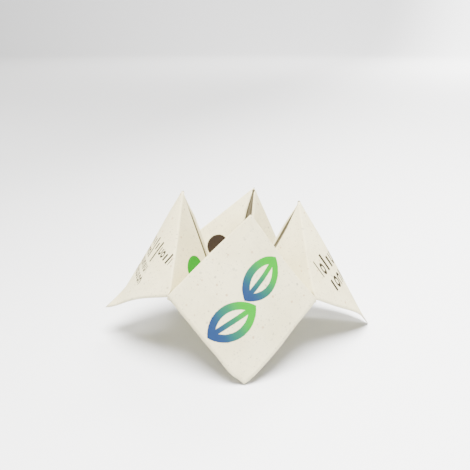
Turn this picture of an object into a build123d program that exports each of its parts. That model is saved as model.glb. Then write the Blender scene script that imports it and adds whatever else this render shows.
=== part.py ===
from build123d import *
import math
import os

os.makedirs("parts", exist_ok=True)

# The square sheet before folding, in millimetres
sheet_size = 210.0
paper_thickness = 0.35
layer_gap = 0.15

# Where the four valley creases point: degrees round from +X, and degrees up from level
crease_turns = [-29.6, 45.8, 129.6, 231.4]
crease_lifts = [27.7, 16.9, 36.2, 36.2]

# Each outer flap bends as a cone over this many degrees of paper either side of its middle
cone_spans = [18.0, 26.0, 37.0, 20.0]

# How far the loose corner of each flap curls outward, over the last share of its diagonal
corner_curls = [6.0, 12.0, 29.0, 9.0]
curl_share = 0.20

# Open slits that the folded and raw edges leave beside the ridges and over the valleys
ridge_slit = 0.30
valley_slit = 0.40
flap_inset = 0.60

# Sizes that follow from the sheet
panel = sheet_size / 4
layer_step = paper_thickness + layer_gap
half_paper = paper_thickness / 2
fold_line = panel - 1.5 * layer_step
ridge_inset = ridge_slit / 2 + layer_step / 2 + half_paper
ridge_cut = ridge_inset * math.sqrt(2)
spare = 8 * layer_step


def crease_direction(number):
    """Unit vector from the bottom point along one valley crease."""
    turn = math.radians(crease_turns[number % 4])
    lift = math.radians(crease_lifts[number % 4])
    return Vector(math.cos(lift) * math.cos(turn), math.cos(lift) * math.sin(turn), math.sin(lift))


def tip_direction(number):
    """Unit vector from the bottom point to the tip between one valley crease and the next."""
    first = crease_direction(number)
    second = crease_direction(number + 1)
    spread = first.dot(second)
    along = math.cos(math.pi / 4) / (1 + spread)
    upward = math.sqrt(max(spread, 0) / (1 + spread))
    return (first + second) * along + first.cross(second).normalized() * upward


def climb_direction(crease, tip):
    """Unit vector up a wall, square to its valley crease."""
    return (tip - crease * tip.dot(crease)).normalized()


def cone_half_angle(opening, span):
    """Half angle of the cone, so that the flap's two sides stand at the opening angle."""
    field = math.pi / 4 - span
    low = math.asin(span / math.pi)
    high = math.pi / 2
    for step in range(50):
        middle = (low + high) / 2
        around = span / math.sin(middle)
        reach = math.cos(field) * math.sin(middle) * math.sin(around)
        reach += math.sin(field) * math.cos(around)
        if reach < math.sin(opening / 2):
            low = middle
        else:
            high = middle
    return middle


def bend_section(centre, radius, start, sweep):
    """Section of the sheet where it bends round a centre."""
    with BuildSketch() as section:
        with BuildLine():
            outside = CenterArc(centre, radius + half_paper, start, sweep)
            inside = CenterArc(centre, radius - half_paper, start, sweep)
            Line(outside @ 0, inside @ 0)
            Line(outside @ 1, inside @ 1)
        make_face()
    return section.sketch


def build_petal(number):
    """One petal: two triple walls that lean together and the loose flap outside them."""
    crease = crease_direction(number)
    far_crease = crease_direction(number + 1)
    tip = tip_direction(number)
    climb = climb_direction(crease, tip)
    far_climb = climb_direction(far_crease, tip)
    inward = crease.cross(climb)
    before = climb_direction(crease, tip_direction(number + 3))
    after = climb_direction(far_crease, tip_direction(number + 1))

    # Planes that halve the petal and part it from its neighbours
    mirror_normal = (crease - far_crease).normalized()
    mirror_plane = Plane(origin=(0, 0, 0), z_dir=mirror_normal)
    near_plane = Plane(origin=(0, 0, 0), z_dir=(climb - before).normalized())
    far_plane = Plane(origin=(0, 0, 0), z_dir=(far_climb - after).normalized())

    # Cone of the flap's middle: its axis lies in the mirror plane, leaning outward at the foot
    opening = math.radians(climb.get_angle(far_climb))
    span = math.radians(cone_spans[number])
    field = math.pi / 4 - span
    half_angle = cone_half_angle(opening, span)
    around = span / math.sin(half_angle)
    down = (climb + far_climb).normalized() * -1
    outward = mirror_normal.cross(down)
    rise_part = math.cos(field) * math.cos(half_angle)
    bulge_part = math.cos(field) * math.sin(half_angle) * math.cos(around)
    bulge_part -= math.sin(field) * math.sin(around)
    tilt = math.atan2(bulge_part, rise_part)
    axis = down * math.cos(tilt) - outward * math.sin(tilt)
    cross_axis = down * math.sin(tilt) + outward * math.cos(tilt)
    spoke = cross_axis * math.cos(around) + mirror_normal * math.sin(around)
    cone_edge = axis * math.cos(half_angle) + spoke * math.sin(half_angle)
    field_way = mirror_normal * math.cos(around) - cross_axis * math.sin(around)
    leave = cone_edge * math.sin(field) - field_way * math.cos(field)
    wedge = math.atan2(-leave.dot(inward), -leave.dot(crease))

    # Where the flap leaves the bend that carries it, and the apex its rulings run up to
    turn = wedge - math.pi / 2
    edge_across = fold_line + 1.5 * layer_step * math.cos(turn)
    edge_height = layer_step / 2 + 1.5 * layer_step * math.sin(turn)
    edge_point = crease * edge_across + inward * edge_height
    rise = -edge_point.dot(mirror_normal) / climb.dot(mirror_normal)
    apex = edge_point + climb * rise
    side = rise - flap_inset
    diagonal = side * math.sqrt(2)
    straight = diagonal * (1 - curl_share)
    curl = math.radians(corner_curls[number])
    curl_radius = (diagonal - straight) / curl

    # Raw edge of the flap over the cone, seen square to the flap
    edge_points = []
    for step in range(9):
        lean = span * (1 - step / 8)
        distance = side / math.cos(math.pi / 4 - lean)
        bend = max(distance - straight, 0) / curl_radius
        length = min(distance, straight)
        depth = length * math.cos(half_angle)
        depth += curl_radius * (math.sin(half_angle + bend) - math.sin(half_angle))
        width = length * math.sin(half_angle)
        width += curl_radius * (math.cos(half_angle) - math.cos(half_angle + bend))
        place = axis * depth + cross_axis * (width * math.cos(lean / math.sin(half_angle)))
        sideways = width * math.sin(lean / math.sin(half_angle))
        edge_points.append((place.dot(down), sideways))
    corner_x, corner_y = edge_points[-1]
    valley_x = side * math.cos(opening / 2)
    valley_y = side * math.sin(opening / 2)

    profile_plane = Plane(origin=apex, x_dir=axis, z_dir=mirror_normal)
    field_plane = Plane(origin=apex, x_dir=cone_edge, z_dir=cone_edge.cross(field_way))
    face_plane = Plane(origin=apex, x_dir=down, z_dir=down.cross(mirror_normal))
    with BuildPart() as flap:
        # Profile down the middle of the cone: straight, then curling outward
        with BuildSketch(profile_plane):
            with BuildLine():
                along = Vector(math.cos(half_angle), math.sin(half_angle))
                normal = Vector(-math.sin(half_angle), math.cos(half_angle))
                centre = along * straight + normal * curl_radius
                sweep = math.degrees(curl) * 1.2
                facing = math.degrees(half_angle) - 90
                upper = CenterArc(centre, curl_radius - half_paper, facing, sweep)
                lower = CenterArc(centre, curl_radius + half_paper, facing, sweep)
                upper_start = (upper @ 0) - along * (straight - 2 * layer_step)
                lower_start = (lower @ 0) - along * (straight - 2 * layer_step)
                Line(upper_start, upper @ 0)
                Line(lower_start, lower @ 0)
                Line(upper_start, lower_start)
                Line(upper @ 1, lower @ 1)
            make_face()
        revolve(axis=Axis(apex, axis), revolution_arc=math.degrees(around))
        # Flat field between the cone and the side edge
        with BuildSketch(field_plane):
            with BuildLine():
                start = Vector(2 * layer_step, 0)
                foot = Vector(side / math.cos(field) + spare, 0)
                Polyline(start, foot, foot.rotate(Axis.Z, math.degrees(field)))
                Line(foot.rotate(Axis.Z, math.degrees(field)), start.rotate(Axis.Z, math.degrees(field)))
                Line(start.rotate(Axis.Z, math.degrees(field)), start)
            make_face()
        extrude(amount=half_paper, both=True)
        # Trim both to the raw edge
        with BuildSketch(face_plane):
            with BuildLine():
                Line((valley_x, valley_y), edge_points[0])
                Spline(*edge_points)
                Polyline(
                    (corner_x, corner_y),
                    (corner_x, -spare),
                    (-spare, -spare),
                    (-spare, valley_y + spare),
                    (valley_x, valley_y + spare),
                    (valley_x, valley_y),
                )
            make_face()
        extrude(amount=panel, both=True, mode=Mode.INTERSECT)

    wall_plane = Plane(origin=(0, 0, 0), x_dir=crease, z_dir=inward)
    fold_plane = Plane(origin=crease * fold_line, x_dir=crease, z_dir=climb * -1)
    ridge_plane = Plane(origin=(0, 0, 0), x_dir=inward.cross(tip), z_dir=tip)
    with BuildPart() as core:
        # Bottom wall, from the valley crease to the ridge
        with BuildSketch(wall_plane):
            with BuildLine():
                Polyline(
                    (-2 * spare, -spare),
                    (fold_line, -spare),
                    (fold_line, fold_line + spare),
                    (-2 * spare, -spare),
                )
            make_face()
        extrude(amount=half_paper, both=True)
        # Middle wall, folded back over the bottom one
        with BuildSketch(wall_plane.offset(layer_step)):
            with BuildLine():
                Polyline(
                    (ridge_cut - spare, -spare),
                    (fold_line, -spare),
                    (fold_line, fold_line - ridge_cut),
                    (ridge_cut - spare, -spare),
                )
            make_face()
        extrude(amount=half_paper, both=True)
        # Hairpin fold between the bottom and middle walls
        with BuildSketch(fold_plane.offset(spare)):
            add(bend_section((0, layer_step / 2), layer_step / 2, -90, 180))
        extrude(amount=-(fold_line + 2 * spare))
        split(bisect_by=mirror_plane, keep=Keep.TOP)
        mirror(about=mirror_plane)
        split(bisect_by=far_plane, keep=Keep.TOP)
        split(bisect_by=near_plane, keep=Keep.TOP)
    with BuildPart() as cover:
        # Inner wall, the one seen from the mouth
        with BuildSketch(wall_plane.offset(2 * layer_step)):
            with BuildLine():
                Polyline(
                    (ridge_cut - spare, -spare),
                    (fold_line, -spare),
                    (fold_line, fold_line - ridge_cut),
                    (ridge_cut - spare, -spare),
                )
            make_face()
        extrude(amount=half_paper, both=True)
        # Hairpin fold along the ridge, between the middle and inner walls
        with BuildSketch(ridge_plane):
            add(bend_section((-ridge_inset, 1.5 * layer_step), layer_step / 2, -90, 180))
        extrude(amount=math.sqrt(2) * fold_line - ridge_inset)
        # Outer bend that carries the inner wall round the hairpin and into the flap
        with BuildSketch(fold_plane.offset(-flap_inset)):
            add(bend_section((0, layer_step / 2), 1.5 * layer_step, 90, math.degrees(wedge) - 180))
        extrude(amount=-(fold_line + spare))
        add(flap.part)
        split(bisect_by=mirror_plane, keep=Keep.TOP)
        mirror(about=mirror_plane)
        split(bisect_by=far_plane.offset(valley_slit / 2), keep=Keep.TOP)
        split(bisect_by=near_plane.offset(valley_slit / 2), keep=Keep.TOP)
    with BuildPart() as petal:
        add(core.part)
        add(cover.part)
    return petal


with BuildPart() as folded_sheet:
    for number in range(4):
        add(build_petal(number).part)

# Stand the sheet on the ground plane, centred over the origin
box = folded_sheet.part.bounding_box()
centre = box.center()
folded_sheet.part.position = (-centre.X, -centre.Y, -box.min.Z)
folded_sheet.part.label = "folded_sheet"
export_step(folded_sheet.part, "parts/folded_sheet.step")
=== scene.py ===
import math
import bpy
import bmesh
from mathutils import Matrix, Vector, noise


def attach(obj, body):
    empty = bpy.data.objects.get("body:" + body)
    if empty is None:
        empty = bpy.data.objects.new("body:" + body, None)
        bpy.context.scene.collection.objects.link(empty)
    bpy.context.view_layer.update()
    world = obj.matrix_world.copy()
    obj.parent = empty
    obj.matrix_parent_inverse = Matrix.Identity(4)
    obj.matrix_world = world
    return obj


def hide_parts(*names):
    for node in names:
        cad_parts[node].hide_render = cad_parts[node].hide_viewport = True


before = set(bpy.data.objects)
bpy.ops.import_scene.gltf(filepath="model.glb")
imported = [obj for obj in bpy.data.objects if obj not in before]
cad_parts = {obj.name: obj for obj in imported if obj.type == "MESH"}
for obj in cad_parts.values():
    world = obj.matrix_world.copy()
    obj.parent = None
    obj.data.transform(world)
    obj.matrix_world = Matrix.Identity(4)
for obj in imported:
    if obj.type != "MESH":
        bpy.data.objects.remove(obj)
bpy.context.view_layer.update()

mm = 0.001

# camera, at the height of a person looking across a table
view = {
    "lift": 18.43,         # degrees above level
    "distance": 0.3081,
    "aim": (-0.00204, -0.0055, 0.05076),
    "sensor": 36.0,        # mm
    "lens": 48.6536,       # mm
}

camData = bpy.data.cameras.new("tableCamera")
camera = bpy.data.objects.new("tableCamera", camData)
bpy.context.collection.objects.link(camera)
lift = math.radians(view["lift"])
back = Vector((0, -math.cos(lift), math.sin(lift)))
camera.location = Vector(view["aim"]) + back * view["distance"]
camera.rotation_euler = back.to_track_quat("Z", "Y").to_euler()
camData.sensor_width = view["sensor"]
camData.lens = view["lens"]
camData.clip_start = 0.01
bpy.context.scene.camera = camera
print("camera set")


# the folded sheet
sheet = {
    "foot": (-6.10 * mm, -5.54 * mm, 1.58 * mm),     # where the middle of the square stands
    "panel": 52.5 * mm,            # a quarter of the square's side
    "paper": 0.35 * mm,            # thickness of the stock
    "step": 0.50 * mm,             # from one layer of a wall to the next
    "turns": (-29.6, 45.8, 129.6, 231.4),   # valley creases, degrees round from +X
    "lifts": (27.7, 16.9, 36.2, 36.2),      # and up from level
    "spans": (18.0, 26.0, 37.0, 20.0),      # paper that bends each side of a flap's middle, degrees
    "curls": (6.0, 12.0, 29.0, 9.0),        # loose corners, right, back, left, front
    "curlShare": 0.20,             # of the flap's diagonal
    "ridgeSlit": 0.30 * mm,        # between the two folded edges at a tip
    # how much wider the slit gets below the tip, near and far half of each petal
    "gapes": ((3.6 * mm, 1.2 * mm), (1.8 * mm, 1.6 * mm), (1.4 * mm, 1.5 * mm), (0.3 * mm, 0.3 * mm)),
    # and how far the inner wall lifts beside it
    "puffs": ((0.9 * mm, 1.6 * mm), (1.1 * mm, 1.9 * mm), (2.2 * mm, 0.6 * mm), (0.4 * mm, 0.4 * mm)),
    "puffReach": 6.0 * mm,         # down the wall
    "easeTip": 9.0 * mm,           # the slit opens over this length from the tip
    "easeValley": 12.0 * mm,       # and closes over this length to the valley
    "easeStop": 3.0 * mm,          # short of the valley by this much
    "valleySlit": 0.40 * mm,
    "flapInset": 0.60 * mm,        # how near a flap's side corners come to the valley crease
    "ripple": 0.22 * mm,           # slow waviness of the whole sheet
    "rippleSize": 24 * mm,
    "rippleSeed": 7,               # the same ripple every run
    "rows": 30,
    "columns": 26,
    "rulings": 26,                 # on each half of a flap
    "hairpin": 8,                  # facets round a tight fold
    "outerBend": 10,
    "weld": 0.004 * mm,
}
# small pushes: where, how far they reach, how much they move
nudges = [
    {"at": (0.034, 0.004, 0.068), "reach": 0.022, "move": (-0.0014, 0.0, -0.0008)},   # right tip
    {"at": (-0.031, 0.001, 0.070), "reach": 0.024, "move": (-0.0013, 0.0, -0.0010)},  # left tip
    # where the front flap meets its neighbours, right and left
    {"at": (0.034, -0.028, 0.026), "reach": 0.012, "move": (0.0015, 0.0, 0.0)},
    {"at": (-0.0325, -0.0387, 0.0326), "reach": 0.014, "move": (0.0002, 0.0, -0.0004)},
    {"at": (0.001, -0.0597, 0.000), "reach": 0.004, "move": (0.0, 0.0014, 0.0004)},   # blunted front corner
    # dents in the front flap, then its lower left edge
    {"at": (0.006, -0.0530, 0.010), "reach": 0.004, "move": (0.0, 0.0007, 0.0003)},
    {"at": (-0.001, -0.0545, 0.008), "reach": 0.003, "move": (0.0, -0.0003, 0.0)},
    {"at": (-0.0045, -0.0563, 0.0055), "reach": 0.006, "move": (-0.0008, 0.0, -0.0004)},
]

axes = ((1, 0), (0, 1), (-1, 0), (0, -1))   # each crease's direction on the flat sheet


def creaseWay(i):
    t = math.radians(sheet["turns"][i % 4])
    e = math.radians(sheet["lifts"][i % 4])
    return Vector((math.cos(e) * math.cos(t), math.cos(e) * math.sin(t), math.sin(e)))


def tipWay(i):
    # a tip stands 45 degrees of paper from both of its creases
    a, b = creaseWay(i), creaseWay(i + 1)
    c = a.dot(b)
    between = (a + b) * (math.cos(math.pi / 4) / (1 + c))
    return between + a.cross(b).normalized() * math.sqrt(max(c, 0) / (1 + c))


def climbWay(crease, tip):
    return (tip - crease * tip.dot(crease)).normalized()


def coneHalf(opening, span):
    # half angle of the cone that spans the flap's opening without stretching the paper, by halving
    field = math.pi / 4 - span
    low, high = math.asin(span / math.pi), math.pi / 2
    for n in range(50):
        mid = (low + high) / 2
        around = span / math.sin(mid)
        width = math.cos(field) * math.sin(mid) * math.sin(around) + math.sin(field) * math.cos(around)
        if width < math.sin(opening / 2):
            low = mid
        else:
            high = mid
    return mid


def smooth(x):
    x = min(max(x, 0), 1)
    return x * x * (3 - 2 * x)


class HalfPetal:
    # one wall of a petal and its half of the flap, measured as across, up and in from the wall
    def __init__(self, i, far):
        near, other = creaseWay(i), creaseWay(i + 1)
        tip = tipWay(i)
        nearClimb, otherClimb = climbWay(near, tip), climbWay(other, tip)
        before = climbWay(near, tipWay(i + 3))
        after = climbWay(other, tipWay(i + 1))
        self.index, self.far = i, far
        if far:
            near, other = other, near
            nearClimb, otherClimb = otherClimb, nearClimb
            before, after = after, before
        self.across, self.up = near, nearClimb
        self.into = near.cross(nearClimb) * (-1 if far else 1)
        self.mirror = (near - other).normalized()
        self.valley = nearClimb.angle(before)
        narrow = min(self.valley, otherClimb.angle(after))
        step, half = sheet["step"], sheet["paper"] / 2
        self.fold = sheet["panel"] - 1.5 * step
        self.wallEdge = (2 * step + half) / math.tan(narrow / 2) + sheet["valleySlit"] / 2

        # the flap: a flat field at the side, then a cone to its middle
        self.span = math.radians(sheet["spans"][i])
        self.coneAngle = coneHalf(nearClimb.angle(otherClimb), self.span)
        w, f = self.coneAngle, math.pi / 4 - self.span
        around = self.span / math.sin(w)
        down = -(nearClimb + otherClimb).normalized()
        out = self.mirror.cross(down) * (-1 if far else 1)
        rise = math.cos(f) * math.sin(w) * math.cos(around) - math.sin(f) * math.sin(around)
        tilt = math.atan2(rise, math.cos(f) * math.cos(w))
        self.axis = down * math.cos(tilt) - out * math.sin(tilt)
        self.outAxis = down * math.sin(tilt) + out * math.cos(tilt)

        # the outer bend turns the wall to where the flap leaves it
        ruling, way = self.spoke(self.span)[:2]
        leave = ruling * math.sin(f) - way * math.cos(f)
        self.wedge = math.atan2(-leave.dot(self.into), -leave.dot(self.across))
        turn = self.wedge - math.pi / 2
        x = self.fold + 1.5 * step * math.cos(turn)
        z = step / 2 + 1.5 * step * math.sin(turn)
        edge = self.across * x + self.into * z
        self.rise = -edge.dot(self.mirror) / self.up.dot(self.mirror)
        self.apex = edge + self.up * self.rise
        self.side = self.rise - sheet["flapInset"]
        diagonal = self.side * math.sqrt(2)
        self.straight = diagonal * (1 - sheet["curlShare"])
        self.curlRadius = (diagonal - self.straight) / math.radians(sheet["curls"][i])

    def at(self, x, y, z):
        return self.across * x + self.up * y + self.into * z

    def plan(self, p, q):
        # place on the flat sheet, in panels from its middle
        if self.far:
            p, q = q, p
        e, g = axes[self.index % 4], axes[(self.index + 1) % 4]
        return (p * e[0] + q * g[0], p * e[1] + q * g[1])

    def valleyUp(self, z):
        return z / math.tan(self.valley / 2)

    def mirrorUp(self, x, z):
        leftOver = self.across.dot(self.mirror) * x + self.into.dot(self.mirror) * z
        return -leftOver / self.up.dot(self.mirror)

    def loosen(self, x):
        # how far the ridge has opened at a place along it, none at the tip and at the valley
        fromTip = smooth((self.fold - x) / sheet["easeTip"])
        return fromTip * smooth((x - self.wallEdge - sheet["easeStop"]) / sheet["easeValley"])

    def bow(self, x):
        # how much the inner wall stands off beside the ridge
        return sheet["puffs"][self.index][self.far] * self.loosen(x)

    def cut(self, x):
        # how far the folded edge stays back from the ridge, measured up the wall
        radius = (sheet["step"] + self.bow(x)) / 2
        slit = sheet["ridgeSlit"] + sheet["gapes"][self.index][self.far] * self.loosen(x)
        return math.sqrt(2) * (slit / 2 + radius + sheet["paper"] / 2)

    def spoke(self, angle):
        # ruling of the cone that far from the middle, the way on round it, and its outward normal
        a, w = angle / math.sin(self.coneAngle), self.coneAngle
        ray = self.outAxis * math.cos(a) + self.mirror * math.sin(a)
        way = self.mirror * math.cos(a) - self.outAxis * math.sin(a)
        return self.axis * math.cos(w) + ray * math.sin(w), way, ray * math.cos(w) - self.axis * math.sin(w)

    def onFlap(self, lean, distance):
        # lean 0 is the side edge, a quarter pi the middle of the flap
        angle = math.pi / 4 - lean
        ruling, way, normal = self.spoke(min(angle, self.span))
        if angle > self.span:
            turned = angle - self.span
            ruling = ruling * math.cos(turned) + way * math.sin(turned)
        bend = max(distance - self.straight, 0) / self.curlRadius
        along = min(distance, self.straight) + self.curlRadius * math.sin(bend)
        return self.apex + ruling * along + normal * (self.curlRadius * (1 - math.cos(bend)))


def patches(h):
    # every patch is a grid of (place, plan); neighbours share their edge points
    panel, step, fold = sheet["panel"], sheet["step"], h.fold
    rows, cols, facets = sheet["rows"], sheet["columns"], sheet["hairpin"]
    lowInner = h.wallEdge + h.cut(0)
    xs = [fold + (lowInner - fold) * i / cols for i in range(cols + 1)]

    grid = []   # bottom wall
    for i in range(cols + 1):
        x = fold * i / cols
        top = x - min(h.cut(fold), x / 2)
        ys = [top * j / rows for j in range(rows + 1)] + [x]
        grid.append([(h.at(x, y, 0), h.plan(x / panel, y / panel)) for y in ys])
    yield grid

    grid = []   # hairpin between bottom and middle walls
    for k in range(facets + 1):
        a = math.pi * (k / facets - 0.5)
        x, z = fold + step / 2 * math.cos(a), step / 2 + step / 2 * math.sin(a)
        low, top = h.valleyUp(z), fold - h.cut(fold)
        ys = [low + (top - low) * j / rows for j in range(rows + 1)] + [h.mirrorUp(x, z)]
        p = (fold + (2 * panel - 2 * fold) * k / facets) / panel
        grid.append([(h.at(x, y, z), h.plan(p, y / panel)) for y in ys])
    yield grid

    grid = []   # middle wall
    low = h.valleyUp(step)
    lowMiddle = low + h.cut(0)
    for x in xs + [lowInner + (lowMiddle - lowInner) * k / 3 for k in (1, 2, 3)]:
        top = max(x - h.cut(x), low)
        ys = [low + (top - low) * j / rows for j in range(rows + 1)]
        grid.append([(h.at(x, y, step), h.plan(2 - x / panel, y / panel)) for y in ys])
    yield grid

    grid = []   # hairpin along the ridge
    for x in xs:
        high = 2 * step + h.bow(x)
        r, zc, y = (high - step) / 2, (high + step) / 2, x - h.cut(x)
        p, q = x / panel, y / panel
        line = []
        for k in range(facets + 1):
            a = math.pi * (k / facets - 0.5)
            s = r * math.cos(a) / math.sqrt(2)
            t = k / facets
            plan = h.plan((2 - p) * (1 - t) + (2 - q) * t, q * (1 - t) + p * t)
            line.append((h.at(x - s, y + s, zc + r * math.sin(a)), plan))
        grid.append(line)
    yield grid

    grid = []   # inner wall
    for x in xs:
        top = max(x - h.cut(x), h.wallEdge)
        line = []
        for j in range(rows + 1):
            y = h.wallEdge + (top - h.wallEdge) * j / rows
            off = (top - y) / math.sqrt(2)
            z = 2 * step + h.bow(x) * math.exp(-(off / sheet["puffReach"]) ** 2)
            line.append((h.at(x, y, z), h.plan(2 - y / panel, x / panel)))
        grid.append(line)
    yield grid

    top = fold - h.cut(fold)
    grid = []   # outer bend, from the inner wall over the hairpin to the flap
    for k in range(sheet["outerBend"] + 1):
        t = k / sheet["outerBend"]
        a = math.pi / 2 + (h.wedge - math.pi) * t
        x, z = fold + 1.5 * step * math.cos(a), step / 2 + 1.5 * step * math.sin(a)
        v = (fold + (panel - fold) * t) / panel
        low = h.wallEdge + (sheet["flapInset"] - h.wallEdge) * smooth(t)
        ys = [low + (top - low) * j / rows for j in range(rows + 1)]
        grid.append([(h.at(x, y, z), h.plan(2 - y / panel, v)) for y in ys + [h.mirrorUp(x, z)]])
    yield grid

    grid = []   # half of the flap
    for k in range(sheet["rulings"] + 1):
        lean = math.pi / 4 * k / sheet["rulings"]
        line = []
        for y in ys + [h.rise]:
            share = (h.rise - y) / h.side / math.cos(lean)
            place = h.onFlap(lean, share * h.side)
            line.append((place, h.plan(1 + share * math.cos(lean), 1 + share * math.sin(lean))))
        grid.append(line)
    yield grid


def settle(p):
    # slow ripple and the small pushes
    p = p + Vector(sheet["foot"])
    p = p + noise.noise_vector(p / sheet["rippleSize"]) * sheet["ripple"]
    for n in nudges:
        far = (p - Vector(n["at"])).length / n["reach"]
        p = p + Vector(n["move"]) * math.exp(-far * far)
    return p


def buildSheet(name):
    bm = bmesh.new()
    plan = bm.loops.layers.uv.new("sheetPlan")
    for i in range(4):
        for far in (False, True):
            for grid in patches(HalfPetal(i, far)):
                made = [[bm.verts.new(settle(p)) for p, uv in line] for line in grid]
                for a in range(len(grid) - 1):
                    for b in range(len(grid[a]) - 1):
                        ring = [(a, b), (a + 1, b), (a + 1, b + 1), (a, b + 1)]
                        uvs = [grid[m][n][1] for m, n in ring]
                        # the same side of the sheet faces the same way everywhere
                        area = sum(uvs[k - 1][0] * uvs[k][1] - uvs[k][0] * uvs[k - 1][1] for k in range(4))
                        if area < 0:
                            ring.reverse()
                            uvs.reverse()
                        face = bm.faces.new([made[m][n] for m, n in ring])
                        face.smooth = True
                        for loop, uv in zip(face.loops, uvs):
                            loop[plan].uv = uv
    bmesh.ops.remove_doubles(bm, verts=bm.verts[:], dist=sheet["weld"])
    bmesh.ops.dissolve_degenerate(bm, edges=bm.edges[:], dist=sheet["weld"])
    mesh = bpy.data.meshes.new(name)
    bm.to_mesh(mesh)
    bm.free()
    piece = bpy.data.objects.new(name, mesh)
    bpy.context.collection.objects.link(piece)
    return piece


noise.seed_set(sheet["rippleSeed"])
paper = buildSheet("foldedPaper")

thick = paper.modifiers.new("stock", "SOLIDIFY")
thick.thickness = sheet["paper"]
thick.offset = 0
thick.use_even_offset = True
thick.material_offset = 1
thick.material_offset_rim = 2

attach(paper, "root")
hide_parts("folded_sheet")


# materials
class Wires:
    # small helper for laying out shader nodes
    def __init__(self, tree):
        self.nodes, self.links, self.column = tree.nodes, tree.links, 0

    def add(self, kind, name="", **settings):
        n = self.nodes.new(kind)
        n.name = n.label = name or n.name
        n.location = (-1400 + self.column % 12 * 180, 400 - self.column // 12 * 240)
        self.column += 1
        for key, value in settings.items():
            setattr(n, key, value)
        return n

    def plug(self, value, socket):
        if isinstance(value, bpy.types.NodeSocket):
            self.links.new(value, socket)
        else:
            socket.default_value = value

    def math(self, operation, a, b=None):
        n = self.add("ShaderNodeMath", operation=operation)
        self.plug(a, n.inputs[0])
        if b is not None:
            self.plug(b, n.inputs[1])
        return n.outputs[0]

    def plus(self, a, b):
        return self.math("ADD", a, b)

    def minus(self, a, b):
        return self.math("SUBTRACT", a, b)

    def times(self, a, b):
        return self.math("MULTIPLY", a, b)

    def least(self, a, b):
        return self.math("MINIMUM", a, b)

    def most(self, a, b):
        return self.math("MAXIMUM", a, b)

    def above(self, a, b):
        return self.math("GREATER_THAN", a, b)

    def below(self, a, b):
        return self.math("LESS_THAN", a, b)

    def plain(self, a):
        # without its sign
        return self.math("ABSOLUTE", a)

    def long(self, a, b):
        return self.math("SQRT", self.plus(self.times(a, a), self.times(b, b)))

    def ramp(self, value, low, high, first=0.0, last=1.0):
        n = self.add("ShaderNodeMapRange", interpolation_type="SMOOTHSTEP")
        self.plug(value, n.inputs["Value"])
        n.inputs["From Min"].default_value, n.inputs["From Max"].default_value = low, high
        n.inputs["To Min"].default_value, n.inputs["To Max"].default_value = first, last
        return n.outputs["Result"]

    def mix(self, share, a, b, name=""):
        n = self.add("ShaderNodeMix", name, data_type="RGBA")
        self.plug(share, n.inputs["Factor"])
        self.plug(a, n.inputs[6])
        self.plug(b, n.inputs[7])
        return n.outputs[2]

    def split(self, vector):
        n = self.add("ShaderNodeSeparateXYZ")
        self.plug(vector, n.inputs[0])
        return n.outputs

    def join(self, x, y):
        n = self.add("ShaderNodeCombineXYZ")
        self.plug(x, n.inputs[0])
        self.plug(y, n.inputs[1])
        return n.outputs[0]

    def noise(self, vector, scale, detail, rough, name):
        n = self.add("ShaderNodeTexNoise", name)
        self.plug(vector, n.inputs["Vector"])
        n.inputs["Scale"].default_value, n.inputs["Detail"].default_value = scale, detail
        n.inputs["Roughness"].default_value = rough
        return n.outputs["Fac"]

    def cells(self, vector, scale, name):
        # scattered cells: a random colour for each, and how far a place is from its cell's middle
        n = self.add("ShaderNodeTexVoronoi", name, feature="F1", voronoi_dimensions="2D")
        self.plug(vector, n.inputs["Vector"])
        n.inputs["Scale"].default_value = scale
        return self.split(n.outputs["Color"]), n.outputs["Distance"]

    def relief(self, height, strength, distance, shader):
        n = self.add("ShaderNodeBump", "relief")
        n.inputs["Strength"].default_value = strength
        n.inputs["Distance"].default_value = distance
        self.plug(height, n.inputs["Height"])
        self.plug(n.outputs[0], shader.inputs["Normal"])

    def group(self, tree, name, **values):
        n = self.add("ShaderNodeGroup", name, node_tree=tree)
        for key, value in values.items():
            self.plug(value, n.inputs[key])
        return n.outputs


def nodeGroup(name, takes, gives):
    tree = bpy.data.node_groups.new(name, "ShaderNodeTree")
    for socket, kind in takes.items():
        tree.interface.new_socket(socket, in_out="INPUT", socket_type="NodeSocket" + kind)
    for socket, kind in gives.items():
        tree.interface.new_socket(socket, in_out="OUTPUT", socket_type="NodeSocket" + kind)
    w = Wires(tree)
    start, end = w.add("NodeGroupInput"), w.add("NodeGroupOutput")
    return tree, w, start.outputs, end.inputs


stock = {
    "base": (0.632, 0.588, 0.378, 1),
    "pale": (0.705, 0.663, 0.452, 1),
    "speckGrey": (0.20, 0.18, 0.155, 1),
    "speckRose": (0.46, 0.33, 0.20, 1),
    "speckPale": (0.53, 0.47, 0.34, 1),
    "wornTint": (0.80, 0.765, 0.65, 1),
    "ridgeShade": (0.050, 0.040, 0.024, 1),   # stands for the deep shade inside an open ridge
    "mottleSize": 1.7,           # blotches per panel
    "fineSize": 26.0,
    "fineStain": 0.38,
    "chaff": (17.0, 0.70, 0.25),   # places it may sit per panel, how rare, how large
    "dust": (37.4, 0.60, 0.27),
    "dustShade": 0.42,
    "fibreTurns": ((0.5, 3.0), (1.75, 9.0), (2.7, 15.0)),   # three ways they lie, and a shift for each
    "fibreCells": (7.0, 62.0, 1.0),
    "fibreShade": 0.45,
    "feltSize": 210.0,
    "cloudSize": 42.0,
    "rubShare": 0.25,
    "rimShare": 0.25,
    "gloss": 0.06,
    "reliefDepth": 0.12 * mm,
    "printedRelief": 0.55,
    "plainRelief": 0.6,
    "plainShift": (4.3, 2.9, 0),
    # how strongly the painted ridge shade covers the printed face
    "shadeCover": 0.92,
}


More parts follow.
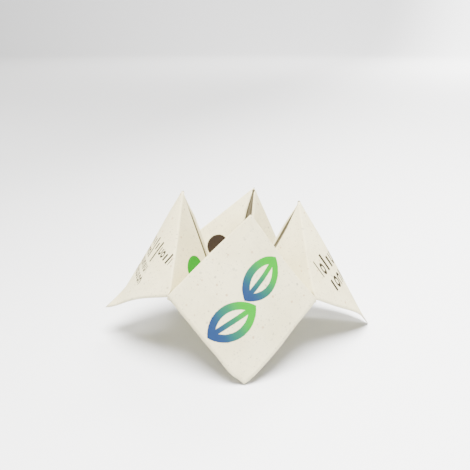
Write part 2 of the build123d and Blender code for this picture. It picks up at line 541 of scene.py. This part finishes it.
def stockGroup():
    # seed paper: mottled cream with chaff, short fibres and a felt of fine relief
    gives = {"Color": "Color", "Roughness": "Float", "Height": "Float"}
    tree, w, given, out = nodeGroup("paperStock", {"Plan": "Vector"}, gives)
    plan = given["Plan"]
    blotch = w.ramp(w.noise(plan, stock["mottleSize"], 4.0, 0.62, "blotches"), 0.34, 0.66)
    fine = w.noise(plan, stock["fineSize"], 3.0, 0.6, "fineMottle")
    color = w.mix(blotch, stock["base"], stock["pale"], "mottle")
    color = w.mix(w.ramp(fine, 0.52, 0.72, 0.0, stock["fineStain"]), color, stock["speckPale"], "fineStain")

    # specks and fibres get ragged outlines from a slight wobble
    wobble = w.add("ShaderNodeTexNoise", "speckWobble")
    w.plug(plan, wobble.inputs["Vector"])
    wobble.inputs["Scale"].default_value = 60.0
    bent = w.add("ShaderNodeVectorMath", "bentPlan", operation="MULTIPLY_ADD")
    w.plug(wobble.outputs["Color"], bent.inputs[0])
    bent.inputs[1].default_value = (0.012, 0.012, 0.0)
    w.plug(plan, bent.inputs[2])
    masks = []
    for name in ("chaff", "dust"):
        count, rare, large = stock[name]
        pick, distance = w.cells(bent.outputs[0], count, name)
        edge = w.minus(w.ramp(pick[0], rare, 1.0, 0.0, large), distance)
        masks.append((w.ramp(edge, 0.0, 0.10), pick[1]))
    chaff, chaffPick = masks[0]
    dust = masks[1][0]
    tint = w.mix(w.ramp(chaffPick, 0.45, 0.55), stock["speckGrey"], stock["speckRose"], "chaffTint")
    color = w.mix(w.times(chaff, w.ramp(chaffPick, 0.0, 1.0, 0.35, 0.85)), color, tint, "chaffOver")
    color = w.mix(w.times(dust, stock["dustShade"]), color, stock["speckGrey"], "dustOver")

    fibres = []
    for angle, shift in stock["fibreTurns"]:
        turned = w.add("ShaderNodeMapping", "fibreTurn")
        w.plug(bent.outputs[0], turned.inputs["Vector"])
        turned.inputs["Location"].default_value = (shift, shift * 0.7, 0)
        turned.inputs["Rotation"].default_value = (0, 0, angle)
        turned.inputs["Scale"].default_value = stock["fibreCells"]
        pick, distance = w.cells(turned.outputs[0], 1.0, "fibreCells")
        fibres.append(w.ramp(w.minus(w.ramp(pick[0], 0.80, 1.0, 0.0, 0.26), distance), 0.0, 0.10))
    fibre = w.most(w.most(fibres[0], fibres[1]), fibres[2])
    color = w.mix(w.times(fibre, stock["fibreShade"]), color, stock["speckPale"], "fibreOver")
    w.plug(color, out["Color"])

    felt = w.noise(plan, stock["feltSize"], 3.0, 0.65, "felt")
    cloud = w.noise(plan, stock["cloudSize"], 3.0, 0.55, "cloud")
    high = w.plus(w.times(felt, 0.45), w.times(cloud, 0.55))
    high = w.plus(high, w.times(fibre, 0.30))
    w.plug(w.plus(high, w.times(chaff, 0.35)), out["Height"])
    w.plug(w.ramp(cloud, 0.3, 0.7, 0.80, 0.93), out["Roughness"])
    return tree


wearAndShade = {
    # widths and distances on the flat sheet, in panels
    "fold": 0.05,
    "rub": 0.022,
    "rim": 0.02,
    "patchSize": 9.0,                 # patches of rubbing per panel
    # the next three place the painted shade inside the open ridges
    "shadeBeside": (0.025, 0.085),    # of the bottom wall, from the diagonal
    "shadeAlong": (0.30, 0.75),       # out from the middle
    "shadeTucked": (0.04, 0.10),      # of the middle wall, from the ridge fold
}


def wearAndShadeGroup():
    # how near a place on the sheet is to one of its folds, with patchy rubbing along them, and where shade
    # is painted inside the open ridges
    gives = {"Fold": "Float", "Rub": "Float", "Rim": "Float", "PaintedShade": "Float"}
    tree, w, given, out = nodeGroup("foldWearAndPaintedShade", {"Plan": "Vector"}, gives)
    plan = given["Plan"]
    u, v = [w.plain(c) for c in w.split(plan)[:2]]
    big, small = w.most(u, v), w.least(u, v)
    both = w.plus(u, v)
    ridge = w.times(w.plain(w.minus(both, 2.0)), 0.707)
    outer = w.plus(w.plain(w.minus(big, 1.0)), w.above(small, 1.02))
    diagonal = w.plus(w.times(w.minus(big, small), 0.707), w.above(big, 1.0))
    near = w.least(w.least(ridge, outer), w.least(diagonal, small))
    patchy = w.noise(plan, wearAndShade["patchSize"], 5.0, 0.7, "rubPatches")
    w.plug(w.ramp(near, 0.0, wearAndShade["fold"], 1.0, 0.0), out["Fold"])
    w.plug(w.times(w.ramp(near, 0.0, wearAndShade["rub"], 1.0, 0.0), w.ramp(patchy, 0.42, 0.66)), out["Rub"])

    # painted shade inside the open ridges: the bottom wall along its diagonals, and the middle wall beside
    # its folded edge, which lie in the gap's shade
    deep = w.times(w.ramp(diagonal, *wearAndShade["shadeBeside"], 1.0, 0.0), w.ramp(big, *wearAndShade["shadeAlong"]))
    short = w.minus(2.0, both)
    tucked = w.times(w.ramp(short, -0.004, 0.010), w.ramp(short, *wearAndShade["shadeTucked"], 1.0, 0.0))
    w.plug(w.most(deep, w.times(tucked, w.above(big, 1.02))), out["PaintedShade"])
    rim = w.ramp(w.minus(2.0, big), 0.0, wearAndShade["rim"], 1.0, 0.0)
    w.plug(w.times(rim, w.ramp(patchy, 0.38, 0.6)), out["Rim"])
    return tree


inks = {
    # one dot for each number panel, in order round from +X
    "dots": ((0.006, 0.050, 0.110), (0.006, 0.120, 0.080), (0.090, 0.016, 0.010), (0.0125, 0.0072, 0.0058),
             (0.140, 0.150, 0.007), (0.005, 0.200, 0.005), (0.190, 0.065, 0.005), (0.006, 0.025, 0.095)),
    "dotAt": (1.630, 0.690),      # larger and smaller distance from the sheet's middle lines, in panels
    "dotSize": 0.113,
    "frontBackOut": 0.049,        # dots on the front and back petals sit this much further out
    "firstIn": 0.060,             # and each petal's first dot further in
    "firstDown": 0.030,           # and lower
    "leafBlue": (0.004, 0.024, 0.092, 1),
    "leafTeal": (0.003, 0.098, 0.058, 1),
    "leafGreen": (0.004, 0.250, 0.004, 1),
    "strokes": (0.010, 0.0075, 0.0075, 1),
    # how much of the paper each ink covers
    "dotCover": 0.99,
    "leafCover": 0.985,
    "strokeCover": 0.98,
}


def dotGroup():
    tree, w, given, out = nodeGroup("dotPrint", {"Plan": "Vector"}, {"Color": "Color", "Mask": "Float"})
    x, y = w.split(given["Plan"])[:2]
    u, v = w.plain(x), w.plain(y)
    quarter = w.times(x, y)
    frontBack = w.below(quarter, 0.0)
    first = w.above(w.times(w.minus(u, v), quarter), 0.0)
    shift = w.minus(w.times(frontBack, inks["frontBackOut"]), w.times(first, inks["firstIn"]))
    du = w.minus(w.most(u, v), w.plus(w.times(first, inks["firstDown"]), inks["dotAt"][0]))
    dv = w.minus(w.least(u, v), w.plus(shift, inks["dotAt"][1]))
    ragged = w.times(w.noise(given["Plan"], 55.0, 2.0, 0.5, "inkEdge"), 0.008)
    far = w.plus(w.long(du, dv), ragged)
    w.plug(w.ramp(far, inks["dotSize"] - 0.001, inks["dotSize"] + 0.008, 1.0, 0.0), out["Mask"])
    share = w.math("FRACT", w.plus(w.math("DIVIDE", w.math("ARCTAN2", y, x), 2 * math.pi), 1.0))
    palette = w.add("ShaderNodeValToRGB", "dotPalette")
    palette.color_ramp.interpolation = "CONSTANT"
    stops = palette.color_ramp.elements
    stops[1].position = 1 / 8
    for k in range(2, 8):
        stops.new(k / 8)
    for stop, tint in zip(stops, inks["dots"]):
        stop.color = (*tint, 1)
    w.plug(share, palette.inputs[0])
    w.plug(palette.outputs[0], out["Color"])
    return tree


def leafGroup():
    # outline of a leaf with its midrib, lying along its own x
    takes = {"Plan": "Vector", "Turn": "Float", "Long": "Float", "Wide": "Float", "Line": "Float"}
    tree, w, given, out = nodeGroup("leafOutline", takes, {"Mask": "Float", "Along": "Float"})
    spin = w.add("ShaderNodeVectorRotate", "spin", rotation_type="Z_AXIS")
    w.plug(given["Plan"], spin.inputs["Vector"])
    w.plug(given["Turn"], spin.inputs["Angle"])
    x, y = w.split(spin.outputs[0])[:2]
    half, wide, line = given["Long"], given["Wide"], given["Line"]
    # two equal arcs that meet at the leaf's ends
    squares = w.plus(w.times(half, half), w.times(wide, wide))
    radius = w.math("DIVIDE", squares, w.times(wide, 2.0))
    side = w.plus(w.plain(y), w.minus(radius, wide))
    inside = w.minus(radius, w.long(x, side))
    halfLine = w.times(line, 0.5)
    rim = w.minus(halfLine, w.plain(w.minus(inside, halfLine)))
    rib = w.least(w.minus(w.times(line, 0.34), w.plain(y)), inside)
    ragged = w.minus(w.noise(given["Plan"], 60.0, 2.0, 0.5, "inkEdge"), 0.5)
    ink = w.plus(w.most(rim, rib), w.times(ragged, 0.006))
    w.plug(w.ramp(ink, -0.003, 0.003), out["Mask"])
    w.plug(w.math("DIVIDE", x, half), out["Along"])
    return tree


strokes = {
    # sizes are shares of a row's size
    "pitch": 0.44,
    "bar": 0.092,          # half the width of an upright stroke
    "high": 0.36,          # half its height
    "riser": 0.38,         # some are taller by this much
    "arch": 0.275,         # radius
    "archLine": 0.108,
    "squeeze": 2.0,        # arches are narrower than high
    "archFoot": 0.38,
    # where the throws of the dice change a mark: rings below, bars above, risers above, gaps below
    "rings": 0.20,
    "bars": 0.62,
    "risers": 0.70,
    "gaps": 0.12,
}


def strokeGroup():
    # a row of upright strokes, arches and rings thrown at random, which spell nothing
    takes = {"X": "Float", "Y": "Float", "At": "Float", "Half": "Float", "Size": "Float", "Seed": "Float"}
    tree, w, given, out = nodeGroup("strokeRow", takes, {"Mask": "Float"})
    size = given["Size"]
    y = w.math("DIVIDE", w.minus(given["At"], given["Y"]), size)
    x = w.math("DIVIDE", given["X"], w.times(size, strokes["pitch"]))
    inCell = w.times(w.minus(w.math("FRACT", x), 0.5), strokes["pitch"])
    dice = w.add("ShaderNodeTexWhiteNoise", "dice", noise_dimensions="2D")
    w.plug(w.join(w.math("FLOOR", x), given["Seed"]), dice.inputs["Vector"])
    throw = w.split(dice.outputs["Color"])
    tall = w.times(w.above(throw[0], strokes["risers"]), strokes["riser"])
    bar = w.minus(strokes["bar"], w.plain(inCell))
    ends = w.least(w.minus(w.plus(strokes["high"], tall), y), w.plus(y, strokes["high"]))
    bar = w.least(bar, ends)
    # an arch open above or below, or closed to a ring where the second throw is low
    sense = w.minus(w.times(w.above(throw[0], 0.5), 2.0), 1.0)
    upright = w.times(y, sense)
    closed = w.below(throw[1], strokes["rings"])
    partBow = w.times(w.most(upright, 0.0), w.minus(1.0, closed))
    bow = w.plus(partBow, w.times(upright, closed))
    arch = w.long(w.times(inCell, strokes["squeeze"]), bow)
    arch = w.minus(strokes["archLine"], w.plain(w.minus(arch, strokes["arch"])))
    arch = w.least(arch, w.plus(upright, strokes["archFoot"]))
    which = w.above(throw[1], strokes["bars"])
    stroke = w.plus(w.times(bar, which), w.times(arch, w.minus(1.0, which)))
    left = w.minus(given["Half"], w.plain(given["X"]))
    mask = w.times(w.ramp(stroke, -0.02, 0.02), w.above(left, 0.0))
    w.plug(w.times(mask, w.above(throw[2], strokes["gaps"])), out["Mask"])
    return tree


stockTree, wearAndShadeTree, dotTree = stockGroup(), wearAndShadeGroup(), dotGroup()
leafTree, strokeTree = leafGroup(), strokeGroup()

flapPrint = {
    # leaves: middle across and down the flap, turn, half length, half width, line, in panels
    "leaves": ((0.122, 0.520, 0.90, 0.240, 0.148, 0.068), (-0.124, 0.888, 0.62, 0.245, 0.150, 0.068)),
    "leafDrift": 0.6,      # how much the tone also runs across the flap
    # rows of strokes on the left flap and the right flap: how far down, half length, size
    "left": ((0.515, 0.47, 0.104), (0.632, 0.28, 0.104), (0.745, 0.29, 0.104), (0.860, 0.32, 0.104)),
    "right": ((0.600, 0.40, 0.165), (0.790, 0.37, 0.165)),
    "rowSeed": 7.3,
}


def nodeMaterial(name):
    m = bpy.data.materials.new(name)
    m.use_nodes = True
    m.node_tree.nodes.clear()
    w = Wires(m.node_tree)
    shader = w.add("ShaderNodeBsdfPrincipled", "surface")
    end = w.add("ShaderNodeOutputMaterial", "out")
    w.plug(shader.outputs[0], end.inputs["Surface"])
    return m, w, shader


def dressPaper(w, shader, color, grain, wornAndShaded, strength, shade):
    # shared last steps: rubbed folds, painted shade in the ridges, roughness, relief
    color = w.mix(w.times(wornAndShaded["Rub"], stock["rubShare"]), color, stock["wornTint"], "rubbedFolds")
    color = w.mix(w.times(wornAndShaded["Rim"], stock["rimShare"]), color, stock["speckPale"], "handledRim")
    # painted shade: the insides of the open ridges are darkened toward ridgeShade, where the gap lies in
    # shade
    if shade:
        color = w.mix(w.times(wornAndShaded["PaintedShade"], shade), color, stock["ridgeShade"], "ridgeShade")
    w.plug(color, shader.inputs["Base Color"])
    w.plug(w.plus(grain["Roughness"], w.times(wornAndShaded["Fold"], -0.06)), shader.inputs["Roughness"])
    shader.inputs["Specular IOR Level"].default_value = stock["gloss"]
    w.relief(w.plus(grain["Height"], w.times(wornAndShaded["Rub"], -0.8)), strength, stock["reliefDepth"], shader)


def leafPrint(w, across, down):
    # both leaves' ink, and where it lies, on a flap measured across and down from its top corner
    masks, tones = [], []
    for x, y, turned, half, wide, line in flapPrint["leaves"]:
        local = w.join(w.minus(across, x), w.minus(y, down))
        leaf = w.group(leafTree, "leaf", Plan=local, Turn=-turned, Long=half, Wide=wide, Line=line)
        masks.append(leaf["Mask"])
        tones.append(w.times(leaf["Along"], leaf["Mask"]))
    drift = w.times(across, flapPrint["leafDrift"])
    tone = w.ramp(w.plus(tones[0], w.plus(tones[1], drift)), -1.0, 1.0)
    ink = w.mix(w.ramp(tone, 0.0, 0.48), inks["leafBlue"], inks["leafTeal"], "leafBlueTeal")
    ink = w.mix(w.ramp(tone, 0.42, 0.95), ink, inks["leafGreen"], "leafTealGreen")
    return ink, w.most(masks[0], masks[1])


def strokeRows(w, side, over, down):
    marks = None
    for k, (at, half, size) in enumerate(flapPrint[side]):
        seed = flapPrint["rowSeed"] * k + at
        row = w.group(strokeTree, side + "Row", X=over, Y=down, At=at, Half=half, Size=size, Seed=seed)
        marks = row["Mask"] if marks is None else w.most(marks, row["Mask"])
    return marks


def printedFace():
    m, w, shader = nodeMaterial("printedFace")
    plan = w.add("ShaderNodeUVMap", "sheetPlan", uv_map="sheetPlan").outputs[0]
    grain, wornAndShaded = w.group(stockTree, "stock", Plan=plan), w.group(wearAndShadeTree, "wearAndShade", Plan=plan)
    dots = w.group(dotTree, "dots", Plan=plan)
    u, v = w.split(plan)[:2]
    au, av = w.plain(u), w.plain(v)
    # flaps are the four corner panels; down and over run from a flap's top corner
    flap = w.above(w.least(au, av), 1.0)
    plusU, plusV = w.above(u, 0.0), w.above(v, 0.0)
    minusU, minusV = w.minus(1.0, plusU), w.minus(1.0, plusV)
    down = w.times(w.minus(w.plus(au, av), 2.0), 0.7071)
    over = w.times(w.minus(au, av), 0.7071)
    dotInked = w.times(dots["Mask"], w.minus(1.0, flap))
    color = w.mix(w.times(dotInked, inks["dotCover"]), grain["Color"], dots["Color"], "dotInk")

    # leaves on the front and back flaps, where u and v differ in sign
    leafOn = w.plus(w.times(flap, w.times(plusU, minusV)), w.times(flap, w.times(minusU, plusV)))
    leafInk, leaves = leafPrint(w, w.times(over, w.minus(w.times(plusU, 2.0), 1.0)), down)
    color = w.mix(w.times(w.times(leaves, leafOn), inks["leafCover"]), color, leafInk, "leafInk")

    # rows of strokes on the left and right flaps
    left = w.times(strokeRows(w, "left", over, down), w.times(w.times(minusU, minusV), flap))
    right = w.times(strokeRows(w, "right", over, down), w.times(w.times(plusU, plusV), flap))
    marks = w.times(w.most(left, right), inks["strokeCover"])
    color = w.mix(marks, color, inks["strokes"], "strokeInk")
    dressPaper(w, shader, color, grain, wornAndShaded, stock["printedRelief"], stock["shadeCover"])
    return m


def plainFace():
    m, w, shader = nodeMaterial("plainFace")
    plan = w.add("ShaderNodeUVMap", "sheetPlan", uv_map="sheetPlan").outputs[0]
    # the grain is shifted, so that the two faces don't have the same specks
    moved = w.add("ShaderNodeMapping", "planShift")
    w.plug(plan, moved.inputs["Vector"])
    moved.inputs["Location"].default_value = stock["plainShift"]
    grain = w.group(stockTree, "stock", Plan=moved.outputs[0])
    wornAndShaded = w.group(wearAndShadeTree, "wearAndShade", Plan=plan)
    dressPaper(w, shader, grain["Color"], grain, wornAndShaded, stock["plainRelief"], 0)
    return m


edge = {
    "tone": (0.78, 0.75, 0.66, 1),
    "stained": (0.62, 0.58, 0.49, 1),
    "fuzz": (0.88, 0.86, 0.80, 1),
    "fuzzSize": 2600.0,    # per metre
    "stainSize": 160.0,
    "gloss": 0.05,
    "reliefDepth": 0.08 * mm,
}


def cutEdge():
    m, w, shader = nodeMaterial("cutEdge")
    spot = w.add("ShaderNodeTexCoord", "spot").outputs["Object"]
    fuzz = w.noise(spot, edge["fuzzSize"], 3.0, 0.7, "fuzz")
    stain = w.noise(spot, edge["stainSize"], 3.0, 0.6, "stain")
    color = w.mix(w.ramp(stain, 0.40, 0.70), edge["tone"], edge["stained"], "edgeTone")
    color = w.mix(w.ramp(fuzz, 0.5, 0.75, 0.0, 0.5), color, edge["fuzz"], "edgeFuzz")
    w.plug(color, shader.inputs["Base Color"])
    w.plug(w.ramp(fuzz, 0.3, 0.7, 0.84, 0.97), shader.inputs["Roughness"])
    shader.inputs["Specular IOR Level"].default_value = edge["gloss"]
    w.relief(fuzz, 0.7, edge["reliefDepth"], shader)
    return m


for make in (printedFace, plainFace, cutEdge):
    paper.data.materials.append(make())
print("paper dressed")


# floor, backdrop and light
studio = {
    "floorTint": (0.870, 0.905, 1.000, 1),
    "floorPaintedShade": (0.390, 0.405, 0.448, 1),
    "paintedLightFall": (-0.42, 0.24),   # painted light: the floor's colour is painted darker from right and front to left and back, standing in for a near lamp's falloff, in metres
    "paintedLightSlant": 0.35,
    "coveRings": (0.15, 0.4, 1.0, 3.0),   # flat out to the last of these, then it sweeps up all round
    "coveRadius": 1.2,
    "coveSteps": 12,
    "coveSides": 64,
    "world": (1.0, 0.83, 0.56, 1),
    "worldPower": 0.24,
    "lampTint": (1.0, 0.96, 0.865),
}


def buildCove():
    bm = bmesh.new()
    profile = [(r, 0.0) for r in studio["coveRings"]]
    flat, radius, steps = studio["coveRings"][-1], studio["coveRadius"], studio["coveSteps"]
    for k in range(1, steps + 1):
        a = math.pi / 2 * k / steps
        profile.append((flat + radius * math.sin(a), radius - radius * math.cos(a)))
    sides = studio["coveSides"]
    angles = [2 * math.pi * k / sides for k in range(sides)]
    middle = bm.verts.new((0, 0, 0))
    rings = []
    for r, z in profile:
        rings.append([bm.verts.new((r * math.cos(t), r * math.sin(t), z)) for t in angles])
    for k in range(sides):
        n = (k + 1) % sides
        bm.faces.new([middle, rings[0][k], rings[0][n]])
        for low, high in zip(rings, rings[1:]):
            bm.faces.new([low[k], high[k], high[n], low[n]])
    for f in bm.faces:
        f.smooth = True
    mesh = bpy.data.meshes.new("studioCove")
    bm.to_mesh(mesh)
    bm.free()
    cove = bpy.data.objects.new("studioCove", mesh)
    bpy.context.collection.objects.link(cove)
    m, w, shader = nodeMaterial("coveWhite")
    spot = w.split(w.add("ShaderNodeTexCoord", "spot").outputs["Object"])
    # painted light: a falloff of lamp light painted into the floor and cove colour
    reach = w.minus(spot[0], w.times(spot[1], studio["paintedLightSlant"]))
    tone = w.mix(w.ramp(reach, *studio["paintedLightFall"]), studio["floorPaintedShade"], studio["floorTint"], "floorPaintedLight")
    w.plug(tone, shader.inputs["Base Color"])
    shader.inputs["Roughness"].default_value = 0.9
    shader.inputs["Specular IOR Level"].default_value = 0.1
    cove.data.materials.append(m)
    return cove


buildCove()

lamps = {
    # name: (place, aim, width, power)
    "overhead": ((-0.02, -0.09, 1.15), (0, 0, 0), 0.98, 103.0),
    "facing": ((0.0, -2.4, 1.6), (0.0, -3.3, 0.0), 1.4, 260.0),   # lights the floor behind the camera
    "rear": ((0.6, 2.1, 1.8), (0.1, 2.9, 0.1), 1.4, 300.0),
}
for name, (place, aim, width, power) in lamps.items():
    data = bpy.data.lights.new(name, "AREA")
    data.shape = "DISK"
    data.size = width
    data.energy = power
    data.color = studio["lampTint"]
    lamp = bpy.data.objects.new(name, data)
    lamp.location = place
    lamp.rotation_euler = (Vector(place) - Vector(aim)).to_track_quat("Z", "Y").to_euler()
    bpy.context.collection.objects.link(lamp)

world = bpy.data.worlds.new("studioAir")
world.use_nodes = True
world.node_tree.nodes["Background"].inputs["Color"].default_value = studio["world"]
world.node_tree.nodes["Background"].inputs["Strength"].default_value = studio["worldPower"]
bpy.context.scene.world = world
print("studio set")
